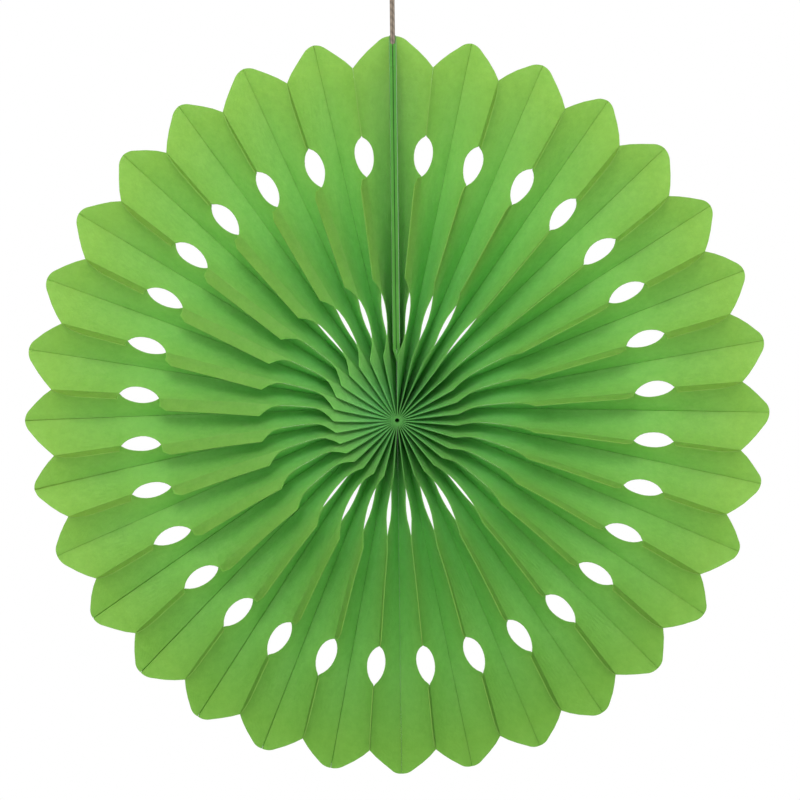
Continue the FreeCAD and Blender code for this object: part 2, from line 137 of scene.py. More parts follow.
class TissueSizes(bpy.types.PropertyGroup):
    tip_radius: length("Tip radius", "From the axis to the petal tips", card_high[2])
    notch_radius: length("Notch radius", "From the axis to the notches", 0.1853)
    tip_round: length("Tip rounding", "Rounding of the petal tips", 0.011)
    side_bulge: length("Side bulge", "How far the sides of the petal tips swell", 0.0005)
    panel_width: length("Panel width", "Leaf width between its two glue lines", 0.022)
    fin_width: length("Fin width", "Leaf width outside each glue line", 0.007)
    outer_nick_place: length("Outer nick", "From the axis to the outer nick's middle", 0.138)
    outer_nick_radius: length("Outer nick radius", "Radius of the outer nick", 0.0116)
    outer_nick_inset: length("Outer nick inset", "Nick's middle inside the fin edge", 0.0023)
    inner_nick_place: length("Inner nick", "From the axis to the inner nick's middle", 0.0535)
    inner_nick_radius: length("Inner nick radius", "Radius of the inner nick", 0.027)
    inner_nick_depth: length("Inner nick depth", "Depth of the inner nick", 0.0094)
    leaf_start: length("Leaf start", "From the axis to the leaves' inner ends", 0.0012)
    leaf_thickness: length("Leaf thickness", "Thickness of one glued leaf", 0.0002)
    card_start: length("Card start", "From the axis to the cards' full thickness", 0.034)
    card_skive: length("Card skive", "Length over which the cards taper off", 0.006)
    petals: bpy.props.IntProperty(
        name="Petals", description="Number of petals round the rosette", default=32, min=8
    )
    seam_petal_angle: angle("Seam petal", "Angle of the petal that holds the cards", 0.22166)
    lean: angle("Fin lean", "How far the front fins lean over on the whole", 0.34)
    lean_swing: angle("Lean swing", "How much further they lean on the left", 0.62)
    lean_lift: angle("Lean lift", "How much further they lean at the top", 0.2)
    outer_lean: angle("Outer lean", "How far they droop outside the lens holes", 0.3)
    lean_spread: angle("Lean spread", "How much that lean varies", 0.13)
    stray: angle("Stray", "How far a front ridge strays from its place", 0.006)
    droop: angle("Droop", "How far the ridges bend at the lens holes", 0.0114)
    slump: angle("Slump", "How far the petals slide down round the axis", 0.015)
    hub_sag: length("Hub sag", "How far the front of the hub hangs down", 0.003)
    billow: length("Billow", "How far the leaves swell from flat", 0.0012)


class Colours(bpy.types.PropertyGroup):
    # Front fins near the hub keep this duller tone; the valleys behind them get painted light.
    tissue_fin: colour("Tissue, front fins", "Front fins near the hub", (0.15, 0.45, 0.06))
    tissue_rim: colour("Tissue, rim", "Tissue near the petal tips", (0.16, 0.355, 0.039))
    # The core and hub tones are painted light and shade: a cool green, lighter than the rim,
    # stands in for light through the paper in the deep pleats near the hub, dimmer at the axis.
    tissue_core_painted_light: colour("Tissue, core", "Tissue pressed at the hub", (0.12, 0.49, 0.11))
    tissue_hub_painted_light: colour("Tissue, hub", "Tissue near the hub", (0.16, 0.58, 0.13))
    edge_rim: colour("Cut edge, rim", "Cut edge near the petal tips", (0.17, 0.34, 0.06))
    # Painted shade: the cut edge darkens towards the hub.
    edge_hub_painted_shade: colour("Cut edge, hub", "Cut edge near the hub", (0.07, 0.24, 0.05))
    card: colour("Card", "Dyed board of the end cards", (0.065, 0.235, 0.036))
    card_edge: colour("Card fibre", "Pale fibres in the board", (0.085, 0.29, 0.045))
    string: colour("String", "Twisted cotton", (0.25, 0.2, 0.155))


class StageSizes(bpy.types.PropertyGroup):
    elevation: angle("Elevation", "Camera height above the horizon", math.radians(8.0))
    roll: angle("Roll", "Camera roll", math.radians(-0.7))
    distance: length("Distance", "Camera distance from the hub", 2.5)
    focal_length: bpy.props.FloatProperty(
        name="Focal length", description="Camera lens in millimetres", default=210.0, min=10
    )


# ---- shading -------------------------------------------------------------


def new_material(name):
    material = bpy.data.materials.new(name)
    material.use_nodes = True
    nodes = material.node_tree.nodes
    return material, nodes, material.node_tree.links, nodes["Principled BSDF"]


def object_noise(nodes, links, scale, detail, roughness=0.5, stretch=None):
    """Noise in the object's own coordinates, in cycles per metre."""
    place = nodes.new("ShaderNodeTexCoord")
    noise = nodes.new("ShaderNodeTexNoise")
    noise.inputs["Scale"].default_value = scale
    noise.inputs["Detail"].default_value = detail
    noise.inputs["Roughness"].default_value = roughness
    source = place.outputs["Object"]
    if stretch:
        mapping = nodes.new("ShaderNodeMapping")
        mapping.inputs["Scale"].default_value = stretch
        links.new(source, mapping.inputs["Vector"])
        source = mapping.outputs["Vector"]
    links.new(source, noise.inputs["Vector"])
    return noise.outputs["Fac"]


def blend_colours(nodes, links, factor, dark, light, low=0.35, high=0.65):
    ramp = nodes.new("ShaderNodeValToRGB")
    ramp.color_ramp.elements[0].position = low
    ramp.color_ramp.elements[1].position = high
    ramp.color_ramp.elements[0].color = (*dark, 1)
    ramp.color_ramp.elements[1].color = (*light, 1)
    links.new(factor, ramp.inputs["Fac"])
    return ramp.outputs["Color"]


def add_bump(nodes, links, shader, height, strength, distance):
    bump = nodes.new("ShaderNodeBump")
    bump.inputs["Strength"].default_value = strength
    bump.inputs["Distance"].default_value = distance
    links.new(height, bump.inputs["Height"])
    links.new(bump.outputs["Normal"], shader.inputs["Normal"])


def distance_from_axis(nodes, links):
    """Distance of a point from the rosette's axis, in metres."""
    place = nodes.new("ShaderNodeTexCoord")
    flat = nodes.new("ShaderNodeVectorMath")
    flat.operation = "MULTIPLY"
    flat.inputs[1].default_value = (1, 0, 1)
    span = nodes.new("ShaderNodeVectorMath")
    span.operation = "LENGTH"
    links.new(place.outputs["Object"], flat.inputs[0])
    links.new(flat.outputs["Vector"], span.inputs[0])
    return span.outputs["Value"]


def radial_paint(nodes, links, stops):
    """A colour that changes with the distance from the axis, by (metres, colour) stops."""
    reach = stops[-1][0]
    share = nodes.new("ShaderNodeMapRange")
    share.inputs["From Max"].default_value = reach
    links.new(distance_from_axis(nodes, links), share.inputs["Value"])
    ramp = nodes.new("ShaderNodeValToRGB")
    marks = ramp.color_ramp.elements
    while len(marks) < len(stops):
        marks.new(0.5)
    for mark, (radius, paint) in zip(marks, stops):
        mark.position = radius / reach
        mark.color = (*paint, 1)
    links.new(share.outputs["Result"], ramp.inputs["Fac"])
    return ramp.outputs["Color"]


def object_share(nodes, links, axis, low, high):
    """How far a point lies between two places on one axis of the object, from 0 to 1."""
    place = nodes.new("ShaderNodeTexCoord")
    parts = nodes.new("ShaderNodeSeparateXYZ")
    links.new(place.outputs["Object"], parts.inputs["Vector"])
    share = nodes.new("ShaderNodeMapRange")
    share.inputs["From Min"].default_value = low
    share.inputs["From Max"].default_value = high
    links.new(parts.outputs[axis], share.inputs["Value"])
    return share.outputs["Result"]


def mixed(nodes, links, blend, first, second, share=None):
    """Two colours, one laid over the other in full or by a share."""
    mix = nodes.new("ShaderNodeMix")
    mix.data_type = "RGBA"
    mix.blend_type = blend
    mix.inputs["Factor"].default_value = 1.0
    if share is not None:
        links.new(share, mix.inputs["Factor"])
    links.new(first, mix.inputs["A"])
    links.new(second, mix.inputs["B"])
    return mix.outputs["Result"]


def tissue_material(colours):
    material, nodes, links, shader = new_material("green tissue")
    # Painted light and shade: from the rim in towards the hub the paint turns to a lighter,
    # cooler green, in place of light through the paper and the hue of the deep pleats' shade.
    core, rim = (CORE_TONE, colours.tissue_core_painted_light), (RIM_TONE, colours.tissue_rim)
    front, back = (
        radial_paint(nodes, links, [core, (HUB_TONE, inner), rim])
        for inner in (colours.tissue_fin, colours.tissue_hub_painted_light)
    )
    # Painted light: the valleys behind the front fins take the lighter hub tone and the fins
    # their duller tone, in place of the light that reaches beneath the leaning fins.
    depth = object_share(nodes, links, "Y", *VALLEY_PAINTED_LIGHT_SPAN)
    paint = mixed(nodes, links, "MIX", front, back, depth)
    cloud = object_noise(nodes, links, 190.0, 6.0, 0.8)
    tone = blend_colours(nodes, links, cloud, (0.82, 0.87, 0.82), (1, 1, 1))
    # Painted shade: the paint turns darker and bluer towards the bottom, where less light falls.
    low = object_share(nodes, links, "Z", *LOW_PAINTED_SHADE_SPAN)
    painted_low_shade = blend_colours(nodes, links, low, (0.51, 0.66, 0.62), (1, 1, 1), 0, 1)
    for layer in (tone, painted_low_shade):
        paint = mixed(nodes, links, "MULTIPLY", paint, layer)
    links.new(paint, shader.inputs["Base Color"])
    crinkle = object_noise(nodes, links, 60.0, 5.0, 0.6)
    add_bump(nodes, links, shader, crinkle, 0.35, 0.0018)
    shader.inputs["Roughness"].default_value = 0.8
    shader.inputs["Specular IOR Level"].default_value = 0.08
    shader.inputs["Subsurface Weight"].default_value = 0.5
    shader.inputs["Subsurface Radius"].default_value = (0.5, 1.0, 0.4)
    shader.inputs["Subsurface Scale"].default_value = 0.004
    return material


def edge_material(colours):
    material, nodes, links, shader = new_material("cut tissue edge")
    # Painted shade: the cut edges darken towards the hub, where the deep pleats lie in shade.
    paint = radial_paint(nodes, links, [(0.02, colours.edge_hub_painted_shade), (0.12, colours.edge_rim)])
    links.new(paint, shader.inputs["Base Color"])
    shader.inputs["Roughness"].default_value = 0.9
    shader.inputs["Specular IOR Level"].default_value = 0.08
    return material


def card_material(colours):
    material, nodes, links, shader = new_material("dyed board")
    fibre = object_noise(nodes, links, 700.0, 4.0, 0.6, (1.0, 1.0, 0.25))
    paint = blend_colours(nodes, links, fibre, colours.card, colours.card_edge, 0.45, 0.85)
    links.new(paint, shader.inputs["Base Color"])
    add_bump(nodes, links, shader, fibre, 0.3, 0.0003)
    shader.inputs["Roughness"].default_value = 0.8
    shader.inputs["Specular IOR Level"].default_value = 0.1
    return material


def tape_material(colours):
    material, nodes, links, shader = new_material("seam tape")
    fibre = object_noise(nodes, links, 1200.0, 3.0)
    dark = [0.6 * value for value in colours.card]
    links.new(blend_colours(nodes, links, fibre, dark, colours.card), shader.inputs["Base Color"])
    shader.inputs["Roughness"].default_value = 0.6
    return material


def string_material(colours, name, strand_half):
    """Twisted cotton; with a strand's half width, two strands that lie side by side, shown by
    painted shade along the line between them.
    """
    material, nodes, links, shader = new_material(name)
    fibre = object_noise(nodes, links, 1800.0, 3.0)
    twist = nodes.new("ShaderNodeTexWave")
    twist.bands_direction = "DIAGONAL"
    twist.inputs["Scale"].default_value = 160.0
    twist.inputs["Distortion"].default_value = 0.6
    place = nodes.new("ShaderNodeTexCoord")
    links.new(place.outputs["Object"], twist.inputs["Vector"])
    height = nodes.new("ShaderNodeMath")
    height.operation = "MULTIPLY_ADD"
    height.inputs[1].default_value = 0.5
    links.new(fibre, height.inputs[0])
    links.new(twist.outputs["Fac"], height.inputs[2])
    dark = [0.6 * value for value in colours.string]
    paint = blend_colours(nodes, links, height.outputs[0], dark, colours.string, 0.1, 0.9)
    # Painted shade: darker towards the middle line, where the two strands meet in shade.
    if strand_half:
        parts = nodes.new("ShaderNodeSeparateXYZ")
        links.new(place.outputs["Object"], parts.inputs[0])
        off = nodes.new("ShaderNodeMath")
        off.operation = "ABSOLUTE"
        links.new(parts.outputs["X"], off.inputs[0])
        groove_painted_shade = nodes.new("ShaderNodeMapRange")
        groove_painted_shade.inputs["From Max"].default_value = strand_half * 0.6
        groove_painted_shade.inputs["To Min"].default_value = 0.35
        links.new(off.outputs[0], groove_painted_shade.inputs["Value"])
        mix = nodes.new("ShaderNodeVectorMath")
        mix.operation = "SCALE"
        links.new(paint, mix.inputs[0])
        links.new(groove_painted_shade.outputs["Result"], mix.inputs["Scale"])
        paint = mix.outputs["Vector"]
    links.new(paint, shader.inputs["Base Color"])
    add_bump(nodes, links, shader, height.outputs[0], 0.5, 0.0003)
    shader.inputs["Roughness"].default_value = 0.9
    return material


# ---- rules written as node formulas ---------------------------------------


class Term:
    """A number in a geometry node tree that can be used in ordinary formulas."""

    def __init__(self, tree, socket):
        self.tree = tree
        self.socket = socket

    def op(self, operation, *others):
        node = self.tree.nodes.new("ShaderNodeMath")
        node.operation = operation
        for place, value in enumerate((self, *others)):
            if isinstance(value, Term):
                self.tree.links.new(value.socket, node.inputs[place])
            else:
                node.inputs[place].default_value = value
        return Term(self.tree, node.outputs[0])

    def __add__(self, other):
        return self.op("ADD", other)

    __radd__ = __add__

    def __mul__(self, other):
        return self.op("MULTIPLY", other)

    __rmul__ = __mul__

    def __sub__(self, other):
        return self.op("SUBTRACT", other)

    def __rsub__(self, other):
        return self * -1.0 + other

    def __truediv__(self, other):
        return self.op("DIVIDE", other)

    def __neg__(self):
        return self * -1.0

    def clamped(self):
        return self.op("MAXIMUM", 0.0).op("MINIMUM", 1.0)


def add_input(tree, name, kind, default=None):
    socket = tree.interface.new_socket(name, in_out="INPUT", socket_type=kind)
    if default is not None:
        socket.default_value = default
    return socket


def named_value(tree, name):
    node = tree.nodes.new("GeometryNodeInputNamedAttribute")
    node.data_type = "FLOAT"
    node.inputs["Name"].default_value = name
    return Term(tree, node.outputs["Attribute"])


def fan_tree(sizes):
    """The tree that turns one flat leaf into the whole opened rosette."""
    tree = bpy.data.node_groups.new("Open the fan", "GeometryNodeTree")
    add_input(tree, "Leaf", "NodeSocketGeometry")
    numbers = {
        "Panel width": sizes.panel_width,
        "Fin width": sizes.fin_width,
        "Leaf thickness": sizes.leaf_thickness,
        "Stack half": card_high[0],
        "Seam petal angle": sizes.seam_petal_angle,
        "Card start": sizes.card_start,
        "Card skive": sizes.card_skive,
        "Nick place": sizes.inner_nick_place,
        "Nick half": glue_line_chord(sizes) / 2,
        "Lens place": sizes.outer_nick_place,
        "Lens half": sizes.outer_nick_radius,
        "Notch radius": sizes.notch_radius,
        "Lean": sizes.lean,
        "Lean swing": sizes.lean_swing,
        "Lean lift": sizes.lean_lift,
        "Outer lean": sizes.outer_lean,
        "Lean spread": sizes.lean_spread,
        "Stray": sizes.stray,
        "Droop": sizes.droop,
        "Slump": sizes.slump,
        "Hub sag": sizes.hub_sag,
        "Billow": sizes.billow,
    }
    add_input(tree, "Petals", "NodeSocketInt", sizes.petals)
    for name, value in numbers.items():
        add_input(tree, name, "NodeSocketFloat", value)
    add_input(tree, "Seed", "NodeSocketInt", RIDGE_SEED)
    add_input(tree, "Paper", "NodeSocketMaterial")
    tree.interface.new_socket("Rosette", in_out="OUTPUT", socket_type="NodeSocketGeometry")
    nodes, links = tree.nodes, tree.links
    entry = nodes.new("NodeGroupInput")
    value = {name: Term(tree, entry.outputs[name]) for name in (*numbers, "Petals", "Seed")}

    # Two leaves for every petal, numbered round the axis.
    line = nodes.new("GeometryNodeMeshLine")
    line.inputs["Offset"].default_value = (0, 0, 0)
    links.new((value["Petals"] * 2.0).socket, line.inputs["Count"])
    index = nodes.new("GeometryNodeInputIndex")
    store = nodes.new("GeometryNodeStoreNamedAttribute")
    store.data_type = "FLOAT"
    store.domain = "POINT"
    store.inputs["Name"].default_value = "leaf number"
    links.new(line.outputs["Mesh"], store.inputs["Geometry"])
    links.new(index.outputs[0], store.inputs["Value"])
    copies = nodes.new("GeometryNodeInstanceOnPoints")
    links.new(store.outputs["Geometry"], copies.inputs["Points"])
    links.new(entry.outputs["Leaf"], copies.inputs["Instance"])
    whole = nodes.new("GeometryNodeRealizeInstances")
    links.new(copies.outputs["Instances"], whole.inputs["Geometry"])

    place = nodes.new("GeometryNodeInputPosition")
    parts = nodes.new("ShaderNodeSeparateXYZ")
    links.new(place.outputs[0], parts.inputs[0])
    across = Term(tree, parts.outputs["X"])
    along = Term(tree, parts.outputs["Z"])
    number = named_value(tree, "leaf number")
    petal = (number / 2.0).op("FLOOR")
    side = (number - petal * 2.0) * 2.0 - 1.0
    is_seam = petal.op("LESS_THAN", 0.5)

    # Where the petal stands round the axis and how far its front folds spread.
    seam_half = value["Seam petal angle"] * 0.5
    petal_half = (math.pi - seam_half) / (value["Petals"] - 1.0)
    half = petal_half + (seam_half - petal_half) * is_seam
    centre = (seam_half + (petal * 2.0 - 1.0) * petal_half) * (1.0 - is_seam)

    # Front fins lean over, most of all on the left, each ridge a little differently.
    ridge_number = petal + (side - 1.0) * 0.5
    random = nodes.new("FunctionNodeRandomValue")
    random.data_type = "FLOAT"
    random.inputs["Min"].default_value = -1.0
    random.inputs["Max"].default_value = 1.0
    wrapped = (ridge_number + value["Petals"]).op("MODULO", value["Petals"])
    links.new((wrapped + 0.5).op("FLOOR").socket, random.inputs["ID"])
    links.new(value["Seed"].socket, random.inputs["Seed"])
    chance = Term(tree, random.outputs[1])
    ridge_bearing = centre + side * half
    leftness = -ridge_bearing.op("SINE")
    topness = ridge_bearing.op("COSINE")
    inner_tilt = value["Lean"] + value["Lean swing"] * leftness + value["Lean lift"] * topness
    outer_tilt = value["Outer lean"] * leftness
    lens_share = (along - value["Lens place"] + value["Lens half"]) / (value["Lens half"] * 2.0)
    tilt = inner_tilt + (outer_tilt - inner_tilt) * lens_share.clamped()
    tilt = (tilt + chance * value["Lean spread"]) * (along * LEAN_RISE).clamped()

    # The leaf's folds: flat fins at both edges, a sloping panel between them.
    panel_half = value["Panel width"] * 0.5
    share = ((panel_half - across) / value["Panel width"]).clamped()
    chord = along * 2.0 * (petal_half * 0.5).op("SINE")
    flat = (value["Panel width"] * value["Panel width"] - chord * chord).op("SQRT") * 0.5
    size_across = across.op("ABSOLUTE")
    beyond = (size_across - panel_half).op("MAXIMUM", 0.0)
    front = across.op("LESS_THAN", 0.0)
    in_panel = across * flat / panel_half
    skin = value["Leaf thickness"] * 0.55
    is_fin = beyond.op("GREATER_THAN", 0.0)
    turning = front * is_fin
    swung = beyond * (tilt.op("COSINE") - 1.0) - side * skin * tilt.op("SINE")
    on_fin = across.op("SIGN") * (flat + beyond + turning * swung)
    depth = in_panel + (on_fin - in_panel) * is_fin
    lean = turning * (beyond * tilt.op("SINE") + side * skin * (tilt.op("COSINE") - 1.0))

    # At the inner nicks the leaves gape above and below the hub and touch at its sides.
    from_nick = (along - value["Nick place"]) / value["Nick half"]
    at_nick = (1.0 - from_nick * from_nick).clamped()
    sideness = ((leftness.op("ABSOLUTE") - 0.55) * 5.0).clamped()
    gape = (1.0 - sideness) * NICK_OPENS - sideness * NICK_CLOSES
    from_lens = (along - value["Lens place"]) / value["Lens half"]
    at_lens = (1.0 - from_lens * from_lens).clamped()
    lens_gape = topness * topness * 0.1 - topness * 0.012 - 0.02
    share = (share * (1.0 - gape * at_nick) * (1.0 - lens_gape * at_lens)).clamped()

    skived = (along - value["Card start"] + value["Card skive"]) / value["Card skive"]
    stack = value["Stack half"] + value["Leaf thickness"] * 0.1
    root = skin + is_seam * stack * skived.clamped()
    ridge = along * half.op("SINE") - skin
    offset = root * (1.0 - share) + ridge * share
    height = along * (1.0 - share * (1.0 - half.op("COSINE")))

    # The leaves billow between their folds and crinkle a little.
    cloud = nodes.new("ShaderNodeTexNoise")
    cloud.noise_dimensions = "4D"
    cloud.inputs["Scale"].default_value = BILLOW_GRAIN
    cloud.inputs["Detail"].default_value = 2.0
    links.new((number * 3.7).socket, cloud.inputs["W"])
    swell = Term(tree, cloud.outputs[0]) - 0.5
    bow = share * (1.0 - share) * 4.0
    wave = swell * value["Billow"] * bow * (along * BILLOW_RISE).clamped() * 2.0

    tangent = (offset + wave) * side - lean
    pull = (1.0 - (along / SAG_REACH).clamped()) * value["Hub sag"]
    forward = (0.5 - depth / (value["Panel width"] + value["Fin width"] * 2.0)).clamped()

    # In the lower half the ridges bend at their lens holes, down inside and up outside.
    before_lens = value["Lens place"] - value["Lens half"] - BEND_START
    past_lens = value["Notch radius"] - value["Lens place"] - value["Lens half"]
    inside = ((along - BEND_START) / before_lens).clamped()
    outside = (value["Notch radius"] - along) / past_lens
    bend = inside * outside.clamped() * (1.0 - lens_share.clamped() * 2.0)
    low = (0.5 - topness).clamped()
    toward = (-leftness * 4.0).op("MAXIMUM", -1.0).op("MINIMUM", 1.0)
    droop = value["Droop"] * low * toward * bend + chance * value["Stray"]

    # Turn the petal to its place, with a slight slide down round the axis.
    bearing = tangent.op("ARCTAN2", height)
    radius = (tangent * tangent + height * height).op("SQRT")
    turned = bearing + centre + droop * share
    firm = leftness.clamped() * (-topness * 3.0).clamped()
    turned = turned + turned.op("SINE") * value["Slump"] * (1.0 - firm)
    spot = nodes.new("ShaderNodeCombineXYZ")
    links.new((radius * turned.op("SINE")).socket, spot.inputs["X"])
    links.new(depth.socket, spot.inputs["Y"])
    links.new((radius * turned.op("COSINE") - pull * forward).socket, spot.inputs["Z"])
    move = nodes.new("GeometryNodeSetPosition")
    links.new(whole.outputs["Geometry"], move.inputs["Geometry"])
    links.new(spot.outputs[0], move.inputs["Position"])

    # Every second leaf is a mirror image, so its faces are turned over.
    turn_over = nodes.new("GeometryNodeFlipFaces")
    links.new(move.outputs["Geometry"], turn_over.inputs["Mesh"])
    links.new(side.op("LESS_THAN", 0.0).socket, turn_over.inputs["Selection"])
    last = nodes.new("GeometryNodeRealizeInstances")
    links.new(turn_over.outputs["Mesh"], last.inputs["Geometry"])
    paper = nodes.new("GeometryNodeSetMaterial")
    links.new(last.outputs["Geometry"], paper.inputs["Geometry"])
    links.new(entry.outputs["Paper"], paper.inputs["Material"])
    out = nodes.new("NodeGroupOutput")
    links.new(paper.outputs["Geometry"], out.inputs["Rosette"])
    return tree


def glue_line_chord(sizes):
    """Length of the inner nick where it crosses the front glue line."""
    past = sizes.inner_nick_depth - sizes.fin_width
    drop = sizes.inner_nick_radius - past
    return 2 * math.sqrt(sizes.inner_nick_radius ** 2 - drop ** 2)


# ---- mesh helpers -----------------------------------------------------------


def piece_from(name, verts, faces):
    mesh = bpy.data.meshes.new(name)
    mesh.from_pydata(verts, [], faces)
    mesh.update()
    piece = bpy.data.objects.new(name, mesh)
    bpy.context.scene.collection.objects.link(piece)
    return piece


def baked(piece, name):
    """A plain mesh of the piece with its modifiers worked in."""
    graph = bpy.context.evaluated_depsgraph_get()
    mesh = bpy.data.meshes.new_from_object(piece.evaluated_get(graph))
    mesh.name = name
    old = piece.data
    bpy.data.objects.remove(piece)
    if old and old.users == 0 and isinstance(old, bpy.types.Mesh):
        bpy.data.meshes.remove(old)
    plain = bpy.data.objects.new(name, mesh)
    bpy.context.scene.collection.objects.link(plain)
    return plain


def finish_piece(piece, slot, *nodes):
    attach(piece, "root")
    if nodes:
        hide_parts(*nodes)


def leaf_geometry(sizes):
    """Front and back edge of the flat leaf at a distance from the axis, and its rows."""
    panel = sizes.panel_width / 2
    half = panel + sizes.fin_width
    tip_middle = sizes.tip_radius - sizes.tip_round
    run = tip_middle - sizes.notch_radius
    slant = math.atan2(2 * panel, run) - math.asin(sizes.tip_round / math.hypot(run, 2 * panel))
    touch = (
        tip_middle + sizes.tip_round * math.sin(slant),
        panel - sizes.tip_round * math.cos(slant),
    )
    corner = sizes.fin_width / (1 - math.cos(slant))
    corner_along = sizes.notch_radius - corner * math.sin(slant)
    drop = sizes.inner_nick_radius - sizes.inner_nick_depth
    reach = math.sqrt(sizes.inner_nick_radius ** 2 - drop ** 2)

    def front_edge(along):
        if along >= touch[0]:
            rise = along - tip_middle
            return panel - math.sqrt(max(sizes.tip_round ** 2 - rise ** 2, 0.0))
        if along >= sizes.notch_radius:
            run_share = (along - sizes.notch_radius) / (touch[0] - sizes.notch_radius)
            swell = 4 * sizes.side_bulge * run_share * (1 - run_share) / math.cos(slant)
            return -panel + (along - sizes.notch_radius) * math.tan(slant) - swell
        if along >= corner_along:
            return corner - half - math.sqrt(max(corner ** 2 - (along - corner_along) ** 2, 0.0))
        outer = along - sizes.outer_nick_place
        if abs(outer) < sizes.outer_nick_radius:
            rise = math.sqrt(sizes.outer_nick_radius ** 2 - outer ** 2)
            return -half + sizes.outer_nick_inset + rise
        inner = along - sizes.inner_nick_place
        if abs(inner) < reach:
            return -half - drop + math.sqrt(sizes.inner_nick_radius ** 2 - inner ** 2)
        return -half

    def back_edge(along):
        rise = along - (sizes.tip_radius - sizes.fin_width)
        if rise <= 0:
            return half
        return panel + math.sqrt(max(sizes.fin_width ** 2 - rise ** 2, 0.0))

    rows = [sizes.leaf_start, *HUB_ROWS, sizes.card_start - sizes.card_skive, sizes.card_start]
    inner_spread = math.asin(reach / sizes.inner_nick_radius)
    rows += [
        sizes.inner_nick_place + sizes.inner_nick_radius * math.sin(inner_spread * (k / 5 - 1))
        for k in range(11)
    ]
    rows += MIDDLE_ROWS
    rows += [
        sizes.outer_nick_place - sizes.outer_nick_radius * math.cos(math.pi * k / 14)
        for k in range(15)
    ]
    rows += OUTER_ROWS
    rows += [corner_along + corner * math.sin(slant * k / 5) for k in range(6)]
    rows += [sizes.notch_radius + (touch[0] - sizes.notch_radius) * k / 3 for k in (1, 2, 3)]
    spread = math.acos(min(1.0, (touch[0] - tip_middle) / sizes.tip_round))
    rows += [tip_middle + sizes.tip_round * math.cos(spread * (1 - k / 6)) for k in range(1, 7)]
    return front_edge, back_edge, sorted(set(round(row, 7) for row in rows))


def flat_leaf(sizes):
    """One leaf lying flat, as X across and Z along, with its nicks and rounded ends."""
    front_edge, back_edge, rows = leaf_geometry(sizes)
    panel = sizes.panel_width / 2
    steps = (2, 8, 2)
    verts, faces = [], []
    for along in rows:
        front, back = front_edge(along), back_edge(along)
        stops = [front, max(front, -panel), max(front, min(panel, back)), back]
        line = []
        for zone, count in enumerate(steps):
            for k in range(count):
                line.append(stops[zone] + (stops[zone + 1] - stops[zone]) * k / count)
        line.append(stops[-1])
        verts += [(value, 0.0, along) for value in line]
    columns = sum(steps) + 1
    for row in range(len(rows) - 1):
        for k in range(columns - 1):
            low = row * columns + k
            faces.append((low, low + 1, low + columns + 1, low + columns))
    leaf = piece_from("flat_leaf", verts, faces)
    tidy_mesh(leaf.data)
    return leaf


def box_faces(low, high):
    """Corners and outward faces of a box."""
    verts = [
        (x, y, z)
        for x in (low[0], high[0])
        for y in (low[1], high[1])
        for z in (low[2], high[2])
    ]
    faces = [(0, 1, 3, 2), (4, 6, 7, 5), (0, 4, 5, 1), (2, 3, 7, 6), (0, 2, 6, 4), (1, 5, 7, 3)]
    return verts, faces


def joined(first, second):
    """Two pieces as one mesh."""
    with bpy.context.temp_override(
        active_object=first, object=first, selected_editable_objects=[first, second]
    ):
        bpy.ops.object.join()
    return first


def tidy_mesh(mesh):
    """Join points that lie on each other and drop faces without area."""
    cage = bmesh.new()
    cage.from_mesh(mesh)
    bmesh.ops.remove_doubles(cage, verts=cage.verts, dist=WELD)
    bmesh.ops.dissolve_degenerate(cage, edges=cage.edges, dist=WELD)
    cage.to_mesh(mesh)
    cage.free()
    mesh.update()


def set_inputs(modifier, values):
    for item in modifier.node_group.interface.items_tree:
        if item.in_out == "INPUT" and item.name in values:
            modifier[item.identifier] = values[item.name]


# ---- operators ---------------------------------------------------------------


class BuildTissue(bpy.types.Operator):
    """Build the pleated tissue from one flat leaf"""

    bl_idname = "paper_fan.tissue"
    bl_label = "Pleated Tissue"

    def execute(self, context):
        sizes = context.scene.paper_fan_tissue
        colours = context.scene.paper_fan_colours
        paper, edge = tissue_material(colours), edge_material(colours)
        leaf = flat_leaf(sizes)
        fan = leaf.modifiers.new("fan", "NODES")
        fan.node_group = fan_tree(sizes)
        set_inputs(fan, {"Paper": paper, "Seed": RIDGE_SEED, "Petals": sizes.petals})
        rosette = baked(leaf, "pleated_leaves")
        if len(rosette.data.polygons) < 1000:
            raise RuntimeError("the leaves were not built")
        rosette.data.materials.clear()
        rosette.data.materials.append(paper)
        rosette.data.materials.append(edge)
        wall = rosette.modifiers.new("wall", "SOLIDIFY")
        wall.thickness = sizes.leaf_thickness
        wall.offset = 0.0
        wall.use_rim = True
        wall.material_offset_rim = 1
        rosette = baked(rosette, "pleated_leaves")
        # The first fold runs on between the skived ends of the two cards.
        fold = 0.8 * tape_high[0]
        low = (-fold, card_low[1], sizes.card_start - sizes.card_skive)
        high = (fold, card_high[1] - sizes.fin_width, tape_low[2] - TAPE_GAP)
        web = piece_from("web", *box_faces(low, high))
        web.data.materials.append(paper)
        rosette = joined(rosette, web)
        rosette.data.polygons.foreach_set("use_smooth", [False] * len(rosette.data.polygons))
        finish_piece(rosette, "tissue", "pleated_tissue")
        return {"FINISHED"}


class DressSeam(bpy.types.Operator):
    """Give the end cards and the tape their finishes"""

    bl_idname = "paper_fan.seam"
    bl_label = "Cards and Tape"

    def execute(self, context):
        colours = context.scene.paper_fan_colours
        board, tape = card_material(colours), tape_material(colours)
        for node, material in (
            ("end_card_right", board),
            ("end_card_left", board),
            ("seam_tape", tape),
        ):
            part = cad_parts[node]
            part.data.materials.clear()
            part.data.materials.append(material)
        return {"FINISHED"}


